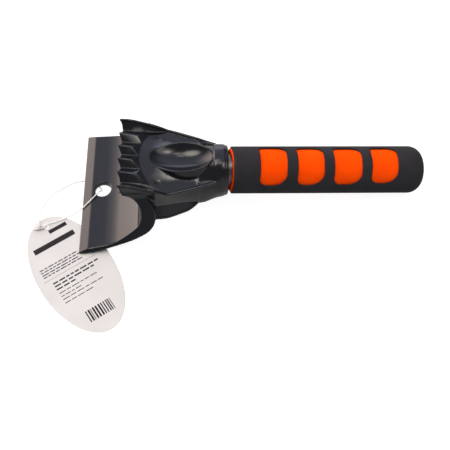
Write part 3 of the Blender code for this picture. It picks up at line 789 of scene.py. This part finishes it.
def build_knot(mat):
    """Turns of string from the card's hole over its edge, drawn tight beside the knot."""
    turns = []
    hole = Vector((CARD_HOLE[0] + 0.2, CARD_HOLE[1], 0.0))
    for k in range(4):
        spread = (k - 1.5) * 0.78
        route = [hole + Vector((0.2, spread * 0.3, 0.55)), hole + Vector((-0.9, spread * 0.5, 1.35)),
                 hole + Vector((-3.0, spread * 0.9 - 0.3, 1.75 - abs(spread) * 0.25)),
                 hole + Vector((-5.6, spread * 1.0 - 0.8, 1.6 - abs(spread) * 0.2)),
                 hole + Vector((-7.6, spread * 0.8 - 1.2, 1.25)),
                 hole + Vector((-8.5, spread * 0.5 - 1.35, 0.75))]
        turns.append(smooth_route(route, 5))
    around = []
    for k in range(33):
        t = 2 * math.pi * 1.6 * k / 32
        around.append(Vector((KNOT[0] + 1.0 - 1.3 * k / 32,
                              KNOT[1] - 0.1 + 1.75 * math.cos(t),
                              KNOT[2] + 0.95 * math.sin(t))))
    turns.append(around)
    verts, faces = [], []
    for line in turns:
        v, f = tube_mesh(line, STRING_R * 0.95, 10)
        base = len(verts)
        verts += v
        faces += [[i + base for i in q] for q in f]
    obj = mesh_object("string_hitch", verts, faces, TABLE_TO_ROW, mat)
    fix_normals(obj)
    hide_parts("string_knot")
    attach(obj, "tag")
    return obj


def build_string(mat):
    points = smooth_route(STRING_ROUTE, 6)
    curve = bpy.data.curves.new("elastic_string", "CURVE")
    curve.dimensions = "3D"
    curve.bevel_depth = STRING_R * MM
    curve.bevel_resolution = 4
    curve.use_fill_caps = True
    spline = curve.splines.new("POLY")
    spline.points.add(len(points) - 1)
    for place, p in zip(spline.points, points):
        place.co = ((p.x + START_X) * MM, p.y * MM, p.z * MM, 1.0)
    curve.materials.append(mat)
    obj = bpy.data.objects.new("elastic_string", curve)
    bpy.context.collection.objects.link(obj)
    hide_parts("tag_string")
    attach(obj, "scraper")
    return obj


# ------------------------------------------------------------------ materials
def new_material(name):
    mat = bpy.data.materials.new(name)
    mat.use_nodes = True
    tree = mat.node_tree
    return mat, tree, tree.nodes["Principled BSDF"]


def add_node(tree, kind, **values):
    node = tree.nodes.new(kind)
    for key, value in values.items():
        if key in node.inputs:
            node.inputs[key].default_value = value
        else:
            setattr(node, key.lower(), value)
    return node


def place_of(tree):
    return tree.nodes.new("ShaderNodeTexCoord").outputs["Object"]


def noise(tree, scale, detail=2.0, roughness=0.5):
    node = add_node(tree, "ShaderNodeTexNoise", Scale=scale, Detail=detail, Roughness=roughness)
    tree.links.new(place_of(tree), node.inputs["Vector"])
    return node.outputs["Fac"]


def ramp(tree, source, stops):
    node = tree.nodes.new("ShaderNodeValToRGB")
    elements = node.color_ramp.elements
    while len(elements) < len(stops):
        elements.new(0.5)
    for element, (at, colour) in zip(elements, stops):
        element.position = at
        element.color = (*colour, 1.0) if len(colour) == 3 else colour
    tree.links.new(source, node.inputs["Fac"])
    return node.outputs["Color"]


def spread(tree, source, low, high):
    node = add_node(tree, "ShaderNodeMapRange")
    node.inputs["To Min"].default_value = low
    node.inputs["To Max"].default_value = high
    tree.links.new(source, node.inputs["Value"])
    return node.outputs["Result"]


def bump(tree, shader, source, strength, distance, under=None):
    node = add_node(tree, "ShaderNodeBump", Strength=strength, Distance=distance)
    tree.links.new(source, node.inputs["Height"])
    if under is not None:
        tree.links.new(under, node.inputs["Normal"])
    tree.links.new(node.outputs["Normal"], shader.inputs["Normal"])
    return node.outputs["Normal"]


def head_plastic():
    mat, tree, shader = new_material("head_black_plastic")
    stops = [(0.3, (0.0040, 0.0042, 0.0052)), (0.7, (0.0055, 0.0057, 0.0070))]
    colour = ramp(tree, noise(tree, 60.0), stops)
    tree.links.new(colour, shader.inputs["Base Color"])
    tree.links.new(spread(tree, noise(tree, 180.0, 4.0), 0.13, 0.18), shader.inputs["Roughness"])
    shader.inputs["IOR"].default_value = 1.45
    shader.inputs["Specular IOR Level"].default_value = 0.45
    bump(tree, shader, noise(tree, 2400.0, 3.0), 0.04, 0.00005)
    return mat


def tube_metal():
    mat, tree, shader = new_material("tube_bright_metal")
    shader.inputs["Metallic"].default_value = 1.0
    shader.inputs["Base Color"].default_value = (0.125, 0.108, 0.098, 1.0)
    tree.links.new(spread(tree, noise(tree, 700.0, 3.0), 0.26, 0.36), shader.inputs["Roughness"])
    return mat


def foam(name, dark, light, pore_depth, shine):
    """Closed-cell foam: small round cells with a fine grain over them."""
    mat, tree, shader = new_material(name)
    cells = add_node(tree, "ShaderNodeTexVoronoi", Scale=1500.0)
    tree.links.new(place_of(tree), cells.inputs["Vector"])
    patches = noise(tree, 90.0, 3.0)
    grain = noise(tree, 2600.0, 2.0)
    mix = tree.nodes.new("ShaderNodeMix")
    mix.data_type = "FLOAT"
    mix.inputs["Factor"].default_value = 0.5
    tree.links.new(patches, mix.inputs["A"])
    tree.links.new(grain, mix.inputs["B"])
    colour = ramp(tree, mix.outputs["Result"], [(0.35, dark), (0.65, light)])
    tree.links.new(colour, shader.inputs["Base Color"])
    shader.inputs["Roughness"].default_value = 0.9
    shader.inputs["Specular IOR Level"].default_value = shine
    under = bump(tree, shader, cells.outputs["Distance"], 0.35, pore_depth)
    bump(tree, shader, grain, 0.25, pore_depth, under)
    return mat


def card_stock():
    mat, tree, shader = new_material("tag_white_card")
    stops = [(0.3, (0.515, 0.507, 0.488)), (0.7, (0.555, 0.547, 0.526))]
    colour = ramp(tree, noise(tree, 45.0, 3.0), stops)
    tree.links.new(colour, shader.inputs["Base Color"])
    shader.inputs["Roughness"].default_value = 0.55
    bump(tree, shader, noise(tree, 1800.0, 3.0), 0.08, 0.00003)
    return mat


def print_ink():
    mat, tree, shader = new_material("tag_print_ink")
    stops = [(0.3, (0.010, 0.008, 0.009)), (0.7, (0.022, 0.018, 0.019))]
    colour = ramp(tree, noise(tree, 900.0, 2.0), stops)
    tree.links.new(colour, shader.inputs["Base Color"])
    shader.inputs["Roughness"].default_value = 0.7
    shader.inputs["Specular IOR Level"].default_value = 0.15
    return mat


def string_elastic(name, light, dark):
    """Elastic string: fine threads wound across it."""
    mat, tree, shader = new_material(name)
    weave = noise(tree, 3200.0, 2.0)
    tree.links.new(ramp(tree, weave, [(0.35, dark), (0.6, light)]), shader.inputs["Base Color"])
    shader.inputs["Roughness"].default_value = 0.75
    bump(tree, shader, weave, 0.5, 0.00008)
    return mat


# ------------------------------------------------------------------ room
def area_light(name, place, target, size, power, colour=(1, 1, 1), size_y=None):
    data = bpy.data.lights.new(name, "AREA")
    data.energy = power
    data.color = colour
    data.shape = "RECTANGLE"
    data.size = size
    data.size_y = size_y or size
    obj = bpy.data.objects.new(name, data)
    obj.location = place
    obj.rotation_euler = (Vector(target) - Vector(place)).to_track_quat("-Z", "Y").to_euler()
    bpy.context.collection.objects.link(obj)
    return obj


# Patches of light round the object: azimuth and elevation in degrees (azimuth 0 is +X
# and 90 is +Y), the angles from its middle at which it starts and stops fading, and its
# strength in red, green and blue.
PATCHES = (
    (150, 14, 0, 42, (5.2, 4.3, 3.9)),       # broad warm light beyond the head, low down
    (-22, 60, 9, 20, (2.9, 2.7, 2.5)),       # window on the near right
    (-24, 66, 2, 7, (8.0, 7.6, 7.1)),      # its brightest part
    (-178, 74, 5, 17, (8.0, 7.4, 6.4)),      # lamp overhead
    (-30, 84, 2, 7, (4.6, 4.4, 3.9)),
    (-72, 2, 4, 28, (0.50, 0.50, 0.52)),     # pale wall on the near side
    (90, 60, 24, 46, (0.70, 0.76, 0.95)),    # bright ceiling over the far side
    (92, 6, 6, 26, (1.5, 1.6, 1.9)),
)
SKY = (0.27, 0.28, 0.33)


def build_sky():
    """A world lit by the patches over an even dim sky."""
    world = bpy.data.worlds.new("studio")
    world.use_nodes = True
    tree = world.node_tree
    background = tree.nodes["Background"]
    direction = tree.nodes.new("ShaderNodeTexCoord").outputs["Generated"]
    total = None
    for azimuth, elevation, inner, outer, strength in PATCHES:
        az, el = math.radians(azimuth), math.radians(elevation)
        facing = tree.nodes.new("ShaderNodeVectorMath")
        facing.operation = "DOT_PRODUCT"
        facing.inputs[1].default_value = (math.cos(el) * math.cos(az),
                                          math.cos(el) * math.sin(az), math.sin(el))
        tree.links.new(direction, facing.inputs[0])
        fade = tree.nodes.new("ShaderNodeMapRange")
        fade.interpolation_type = "SMOOTHSTEP"
        fade.inputs["From Min"].default_value = math.cos(math.radians(outer))
        fade.inputs["From Max"].default_value = math.cos(math.radians(inner))
        tree.links.new(facing.outputs["Value"], fade.inputs["Value"])
        scaled = tree.nodes.new("ShaderNodeVectorMath")
        scaled.operation = "SCALE"
        scaled.inputs[0].default_value = strength
        tree.links.new(fade.outputs["Result"], scaled.inputs["Scale"])
        add = tree.nodes.new("ShaderNodeVectorMath")
        add.operation = "ADD"
        add.inputs[1].default_value = SKY
        if total is not None:
            tree.links.new(total, add.inputs[1])
        tree.links.new(scaled.outputs[0], add.inputs[0])
        total = add.outputs[0]
    tree.links.new(total, background.inputs["Color"])
    bpy.context.scene.world = world


def build_room():
    mat, tree, shader = new_material("floor_white")
    shader.inputs["Base Color"].default_value = (0.2, 0.2, 0.2, 1.0)
    shader.inputs["Roughness"].default_value = 1.0
    shader.inputs["Specular IOR Level"].default_value = 0.0
    shader.inputs["Emission Color"].default_value = (1.0, 1.0, 1.0, 1.0)
    # The floor looks brighter to the camera than it is as a light.
    to_camera = tree.nodes.new("ShaderNodeLightPath").outputs["Is Camera Ray"]
    tree.links.new(spread(tree, to_camera, 0.45, 0.93), shader.inputs["Emission Strength"])
    mesh = bpy.data.meshes.new("floor")
    side = 12.0
    corners = [(-side, -side, 0), (side, -side, 0), (side, side, 0), (-side, side, 0)]
    mesh.from_pydata(corners, [], [(0, 1, 2, 3)])
    mesh.materials.append(mat)
    floor = bpy.data.objects.new("floor", mesh)
    floor.location.z = -0.0002
    bpy.context.collection.objects.link(floor)
    build_sky()
    bpy.context.scene.view_settings.view_transform = "Standard"
    area_light("softbox_top", (0.0, 0.4, 2.6), (0, 0, 0), 0.35, 1.6, (0.98, 0.98, 1.0))


# ------------------------------------------------------------------ assembly
plastic = head_plastic()
elastic = string_elastic("string_elastic_thread", (0.86, 0.84, 0.81), (0.76, 0.74, 0.71))
# The knot's thread is a darker, greyer copy of the string's elastic: its colour paints the shade among the
# knot's tight turns.
knot_thread_with_painted_shade = string_elastic("knot_thread_painted_shade", (0.74, 0.70, 0.66), (0.52, 0.48, 0.45))
card = build_card(card_stock())
build_print(print_ink())
knot = build_knot(knot_thread_with_painted_shade)
build_string(elastic)
build_head(plastic)
build_tube(tube_metal())
build_inner_foam(foam("orange_foam_cells", dark=(0.86, 0.055, 0.0002), light=(0.96, 0.074, 0.0003),
                      pore_depth=0.00012, shine=0.04))
build_outer_foam(foam("black_foam_cells", dark=(0.0160, 0.0155, 0.0174), light=(0.0256, 0.0246, 0.0275),
                      pore_depth=0.00018, shine=0.15))
build_room()
